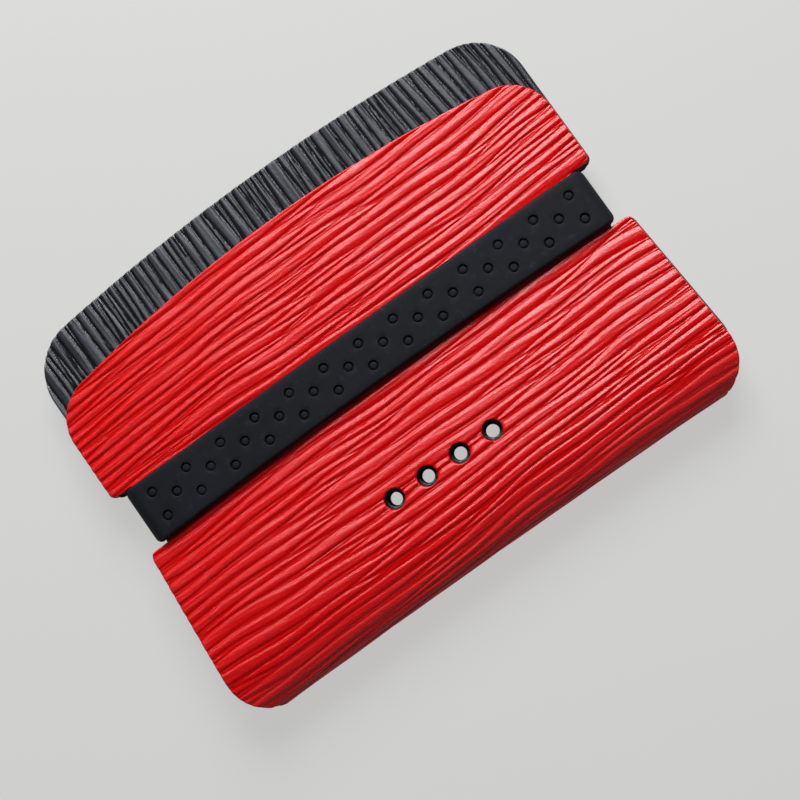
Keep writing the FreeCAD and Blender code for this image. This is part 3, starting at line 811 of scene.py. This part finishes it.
RED_OUTLINE = Outline(RED_HALF_WIDTH, RED_TOP_Y, RED_ARCH_RADIUS, RED_CORNER_RADIUS, FOLD_Y)
BLACK_OUTLINE = Outline(
    BLACK_HALF_WIDTH, BLACK_TOP_Y, BLACK_ARCH_RADIUS, BLACK_CORNER_RADIUS, FOLD_Y + SLEEVE_DEPTH,
    NOTCH_HALF_WIDTH - SLEEVE_SHIFT,
)
RED_RIBS = Ribs(
    seed=11, pitch=1.95 * MM, length=62 * MM, sway=0.9 * MM, lean=0.02,
    flank=0.62 * MM, fine_half=0.12 * MM,
)
BLACK_RIBS = Ribs(
    seed=29, pitch=1.80 * MM, length=75 * MM, sway=0.6 * MM, lean=-0.04,
    flank=0.66 * MM, fine_half=0.02 * MM,
)
SLEEVE_SEEN_Y = BAND_MID_Y  # the sleeve is hidden below this


def bend_with(piece):
    """Bakes the piece's world placing into its mesh."""
    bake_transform(piece)


def red_relief(x, s):
    """The shell's ribs, a little shallower where the leather is stretched round the fold."""
    stretched = 1 - smoothstep(FOLD_FLAT_REACH, FOLD_FLAT_FADE, np.abs(s - PROFILE.s_tip))
    return MEAN_RIB + (RED_RIBS(x, s) - MEAN_RIB) * (RED_RELIEF - FOLD_FLATTENS * stretched)


def black_relief(x, s):
    """The sleeve's ribs, only where they can be seen."""
    heights = PROFILE.place(s, SLEEVE_DEPTH)[0]
    seen = smoothstep(SLEEVE_SEEN_Y, SLEEVE_SEEN_Y + COARSE_STEP, heights)
    return MEAN_RIB + (BLACK_RIBS(s, x) - MEAN_RIB) * seen


def build_shell():
    """The red sheet, in a front piece that wraps the fold and a back leaf."""
    looks = dict(
        areas=[(-1.0, 1.0, ALONG_STEP, ACROSS_STEP)], depths=(0.0, LINING_DEPTH),
        relief=red_relief, skins=(RED, RED_EDGE, FLESH), pinch=BAND_PINCH,
    )
    front = leather_sheet(
        "red_shell", front_chain(RED_OUTLINE, 0.0), holes_through(0.0, HOLE_RADIUS), **looks
    )
    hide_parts("shell_front_flap", "shell_front_panel", "shell_fold")
    bend_with(front)
    back = leather_sheet("red_back_leaf", back_chain(RED_OUTLINE, 0.0), [], **looks)
    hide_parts("shell_back_leaf")
    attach(back, "wallet_core")


def build_lining():
    """The thin black backing inside the shell."""
    half_width, top_y = RED_HALF_WIDTH + LINING_SPARE, RED_TOP_Y + LINING_SPARE
    outline = Outline(half_width, top_y, RED_ARCH_RADIUS, RED_CORNER_RADIUS, FOLD_Y)
    depth = LINING_DEPTH + LINING_GAP
    looks = dict(
        areas=[EVERYWHERE_COARSE], depths=(depth, LINING_BACK_DEPTH),
        relief=None, skins=(FLESH, BLACK_EDGE, FLESH),
    )
    front = leather_sheet(
        "lining", front_chain(outline, depth), holes_through(depth, HOLE_RADIUS), **looks
    )
    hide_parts("lining_front_flap", "lining_front_panel", "lining_fold")
    bend_with(front)
    back = leather_sheet("lining_back_leaf_skin", back_chain(outline, depth), [], **looks)
    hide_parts("lining_back_leaf")
    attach(back, "wallet_core")


def build_sleeve():
    """The black sheet inside: a front piece that wraps the fold, and a back leaf."""
    seen_s = float(PROFILE.front_s(SLEEVE_SEEN_Y, SLEEVE_DEPTH))
    front_areas = [
        (-1.0, seen_s, ACROSS_STEP, FINE_ALONG_STEP), (seen_s, 1.0, COARSE_STEP, COARSE_STEP),
    ]
    back_areas = [(-1.0, 1.0, ACROSS_STEP, ALONG_STEP)]
    looks = dict(
        depths=(SLEEVE_DEPTH, SLEEVE_BACK_DEPTH), relief=black_relief,
        skins=(BLACK, BLACK_EDGE, FLESH), shift=SLEEVE_SHIFT,
    )
    holes = holes_through(SLEEVE_DEPTH, SLEEVE_HOLE_RADIUS, SLEEVE_SHIFT)
    front_outline = front_chain(BLACK_OUTLINE, SLEEVE_DEPTH)
    front = leather_sheet("black_sleeve", front_outline, holes, front_areas, **looks)
    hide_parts("sleeve_front_flap", "sleeve_front_panel", "sleeve_fold", "sleeve_back_panel")
    bend_with(front)
    back_outline = back_chain(BLACK_OUTLINE, SLEEVE_DEPTH)
    back = leather_sheet("black_sleeve_back_leaf", back_outline, [], back_areas, **looks)
    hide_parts("sleeve_back_flap")
    bend_with(back)


# --------------------------------------------------------------------- the band


def rounded_path(half_width, half_height, radius):
    """Points round a rounded rectangle in X and Z, from the middle of its bottom."""
    right, top = half_width - radius, half_height - radius

    def line(first, last, count):
        share = np.arange(count)[:, None] / count
        return np.array(first) + (np.array(last) - np.array(first)) * share

    def turn(cx, cz, first):
        angles = first + np.arange(BAND_CORNER_STEPS) / BAND_CORNER_STEPS * math.pi / 2
        return np.stack([cx + radius * np.cos(angles), cz + radius * np.sin(angles)], 1)

    return np.concatenate(
        [
            line((0, -half_height), (right, -half_height), BAND_LONG_STEPS),
            turn(right, -top, -math.pi / 2),
            line((half_width, -top), (half_width, top), BAND_END_STEPS),
            turn(right, top, 0),
            line((right, half_height), (-right, half_height), 2 * BAND_LONG_STEPS),
            turn(-right, top, math.pi / 2),
            line((-half_width, top), (-half_width, -top), BAND_END_STEPS),
            turn(-right, -top, math.pi),
            line((-right, -half_height), (0, -half_height), BAND_LONG_STEPS),
        ]
    )


def dimple_places(limit):
    """The middles of the dimples on one face, by X and by height in the band's width.  The middle
    row is half a pitch along."""
    places = []
    for row, v in enumerate(DIMPLE_ROWS):
        offset = DIMPLE_PITCH / 2 * (row % 2)
        most = math.ceil(limit / DIMPLE_PITCH)
        xs = (step * DIMPLE_PITCH + offset for step in range(-most - 1, most + 1))
        places += [(x, v) for x in xs if abs(x) < limit]
    return places


def band_skin(lengths, rows):
    """The band's outer skin laid out flat: points of length u round it and height v, how deep each
    is in a dimple, and the triangles.  The first and last columns are the same place."""
    total = lengths[-1]
    grid = np.array([(u, v) for v in rows for u in lengths])
    flat_half = BAND_HALF_WIDTH - BAND_CORNER_RADIUS
    rings, ring_depths = [], []
    turns = np.linspace(0, 2 * math.pi, DIMPLE_SIDES, endpoint=False)
    keep = np.ones(len(grid), bool)
    for middle, side in ((total / 2, -1), (0.0, 1), (total, 1)):
        for x, v in dimple_places(flat_half - DIMPLE_RADIUS * DIMPLE_END_ROOM):
            u = middle + side * x
            reach = DIMPLE_RADIUS * DIMPLE_PROFILE[0][0]
            if not reach < u < total - reach:
                continue
            keep &= np.hypot(grid[:, 0] - u, grid[:, 1] - v) > reach * DIMPLE_CLEAR
            for share, drop in DIMPLE_PROFILE:
                radius = DIMPLE_RADIUS * share
                rings.append(np.stack([u + radius * np.cos(turns), v + radius * np.sin(turns)], 1))
                ring_depths.append(np.full(DIMPLE_SIDES, drop * DIMPLE_DEPTH))
    border = (np.abs(grid[:, 1]) > rows[-1] - 1e-9) | (grid[:, 0] == 0) | (grid[:, 0] == total)
    keep |= border
    points = np.concatenate([grid[keep], *rings])
    depth = np.concatenate([np.zeros(keep.sum()), *ring_depths])
    found = delaunay_2d_cdt([Vector(p / MM) for p in points], [], [], 0, 1e-6, False)
    return points, depth, [tuple(face) for face in found[2]]


def band_y(x, from_end, v):
    """The height Y in the band's width, with its corners nipped in and its middle bowed up."""
    past = np.clip(BAND_NIP - from_end, 0, BAND_NIP)
    nip = BAND_NIP - np.sqrt(BAND_NIP**2 - past**2)
    droop = BAND_END_DROOP * (x / BAND_HALF_WIDTH) ** 2 * np.clip(-v / BAND_HALF_SPAN, 0, 1)
    return bowed(x, BAND_MID_Y + v * (1 - nip / BAND_HALF_SPAN) - droop)


class BandPath:
    """The band's closed outer path in X and Z, by the length u along it."""

    def __init__(self):
        outer = rounded_path(BAND_HALF_WIDTH, BAND_HALF_HEIGHT, BAND_CORNER_RADIUS)
        along = np.roll(outer, -1, axis=0) - np.roll(outer, 1, axis=0)
        along /= np.linalg.norm(along, axis=1)[:, None]
        normal = np.stack([along[:, 1], -along[:, 0]], 1)
        self.line = np.concatenate([outer, outer[:1]])
        self.normal = np.concatenate([normal, normal[:1]])
        self.lengths = np.concatenate([[0], np.cumsum(np.hypot(*np.diff(self.line, axis=0).T))])

    def place(self, u, v, sink):
        """Points at a length along the path and a height in the band's width, sunk into it."""
        skin_x, skin_z = (np.interp(u, self.lengths, self.line[:, i]) for i in (0, 1))
        normal_x, normal_z = (np.interp(u, self.lengths, self.normal[:, i]) for i in (0, 1))
        x, z = skin_x - sink * normal_x, skin_z - sink * normal_z
        return np.stack([x, band_y(x, BAND_HALF_WIDTH - np.abs(skin_x), v), z + MID_Z], 1)


def rings_beyond_skin(path):
    """Rows of points over the band's upper rim, down its inside, and over its lower rim."""
    u = path.lengths[:-1]
    angles = np.linspace(0, math.pi / 2, BAND_RIM_STEPS)[1:]
    heights = SKIN_HALF_SPAN + BAND_EDGE_ROUND * np.sin(angles)
    sinks = BAND_EDGE_ROUND * (1 - np.cos(angles))
    rings = [path.place(u, np.full(len(u), v), sink) for v, sink in zip(heights, sinks)]
    inner_half_width = BAND_HALF_WIDTH - BAND_THICK
    inner_x, inner_z = rounded_path(inner_half_width, BAND_HALF_HEIGHT - BAND_THICK, BAND_INNER_RADIUS).T
    for v in np.linspace(BAND_HALF_SPAN, -BAND_HALF_SPAN, INSIDE_ROWS):
        inner_y = band_y(inner_x, inner_half_width - np.abs(inner_x), v)
        rings.append(np.stack([inner_x, inner_y, inner_z + MID_Z], 1))
    lower = list(zip(-heights, sinks))[::-1]
    return rings + [path.place(u, np.full(len(u), v), sink) for v, sink in lower]


def key_of(length):
    """A length as a key for finding points that are in the same place."""
    return round(length / MM, 4)


def skin_row(points, lengths, height):
    """The skin's points at one height, one for each step of the path."""
    found = {key_of(u): i for i, (u, v) in enumerate(points) if v == height}
    return [found[key_of(u)] for u in lengths[:-1]]


def build_band():
    """The silicone loop, with rounded edges and rows of shallow dimples front and back."""
    path = BandPath()
    rows = np.linspace(-SKIN_HALF_SPAN, SKIN_HALF_SPAN, SKIN_ROWS)
    points, depth, faces = band_skin(path.lengths, rows)

    # The last column of the skin is the first one again.
    same = np.arange(len(points))
    first_column = {key_of(v): i for i, (u, v) in enumerate(points) if u == 0}
    for i, (u, v) in enumerate(points):
        if u == path.lengths[-1]:
            same[i] = first_column[key_of(v)]
    faces = [tuple(same[list(face)]) for face in faces]

    spare = rings_beyond_skin(path)
    count = len(spare[0])
    rings = [skin_row(points, path.lengths, rows[-1])]
    for index in range(len(spare)):
        start = len(points) + index * count
        rings.append(list(range(start, start + count)))
    rings.append(skin_row(points, path.lengths, rows[0]))
    for lower, upper in zip(rings, rings[1:]):
        for i in range(count):
            j = (i + 1) % count
            faces.append((lower[i], lower[j], upper[j], upper[i]))

    vertices = np.concatenate([path.place(*points.T, depth)] + spare)
    used = np.zeros(len(vertices), bool)
    used[np.concatenate([np.array(face) for face in faces])] = True
    number = np.cumsum(used) - 1
    faces = [tuple(number[list(face)]) for face in faces]
    piece = make_mesh("silicone_loop", vertices[used], faces, [0] * len(faces))
    piece.data.materials.append(SILICONE)
    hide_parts("silicone_band")
    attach(piece, "wallet_core")


# ------------------------------------------------------ floor, light and camera


def build_floor():
    """A plain pale floor that glows faintly, like a light table."""
    corners = [(x * FLOOR_HALF, y * FLOOR_HALF, 0) for x, y in ((-1, -1), (1, -1), (1, 1), (-1, 1))]
    mesh = bpy.data.meshes.new("floor")
    mesh.from_pydata(corners, [], [(0, 1, 2, 3)])
    floor = add_object("floor", mesh)
    nodes = Nodes("pale_floor")
    nodes.shade(Base_Color=colour(92, 92, 91), Roughness=0.95, Specular_IOR_Level=0.1)
    nodes.shade(Emission_Color=colour(255, 255, 253), Emission_Strength=FLOOR_GLOW)
    floor.data.materials.append(nodes.material)


def build_room():
    """A room that is pale low down, all the way round, and dim above."""
    world = bpy.data.worlds.new("room")
    world.use_nodes = True
    tree = world.node_tree
    direction = tree.nodes.new("ShaderNodeTexCoord")
    parts = tree.nodes.new("ShaderNodeSeparateXYZ")
    climb = tree.nodes.new("ShaderNodeMapRange")
    climb.interpolation_type = "SMOOTHSTEP"
    limits = {"From Min": 0.0, "From Max": ROOM_DIM_FROM, "To Min": ROOM_PALE, "To Max": ROOM_DIM}
    for key, value in limits.items():
        climb.inputs[key].default_value = value
    background = tree.nodes["Background"]
    background.inputs["Color"].default_value = (1.0, 1.0, 0.99, 1.0)
    tree.links.new(direction.outputs["Generated"], parts.inputs["Vector"])
    tree.links.new(parts.outputs["Z"], climb.inputs["Value"])
    tree.links.new(climb.outputs["Result"], background.inputs["Strength"])
    bpy.context.scene.world = world


def soft_light(name, place, size, power):
    """A soft square lamp that points at the wallet's middle."""
    lamp = bpy.data.lights.new(name, "AREA")
    lamp.size = size
    lamp.energy = power
    holder = add_object(name, lamp)
    holder.location = place
    holder.rotation_euler = (-Vector(place)).to_track_quat("-Z", "Y").to_euler()


def build_light():
    """Soft light from above and beyond the open edge, a little to the right."""
    soft_light("key", KEY_PLACE, KEY_SIZE, KEY_POWER)
    soft_light("fill", FILL_PLACE, FILL_SIZE, FILL_POWER)
    # The default view would wash out the leather's strong red.
    bpy.context.scene.view_settings.view_transform = "Standard"


def build_camera():
    """The camera looks down at the front face, a little from the fold's side, and is rolled so that
    the fold runs up to the right."""
    camera = bpy.data.cameras.new("camera")
    camera.sensor_width = SENSOR_WIDTH
    camera.lens = camera.sensor_width * CAMERA_FOCAL
    camera.clip_start = 0.01
    holder = add_object("camera", camera)
    forward = Vector(CAMERA_FORWARD).normalized()
    up = (Vector((0, 1, 0)) - forward * forward.y).normalized()
    right = forward.cross(up)
    roll = math.radians(CAMERA_ROLL)
    up_rolled = up * math.cos(roll) + right * math.sin(roll)
    right_rolled = forward.cross(up_rolled)
    turn = Matrix((right_rolled, up_rolled, -forward)).transposed()
    holder.matrix_world = Matrix.Translation(CAMERA_PLACE) @ turn.to_4x4()
    bpy.context.scene.camera = holder


build_shell()
build_lining()
build_sleeve()
build_band()
build_floor()
build_room()
build_light()
build_camera()
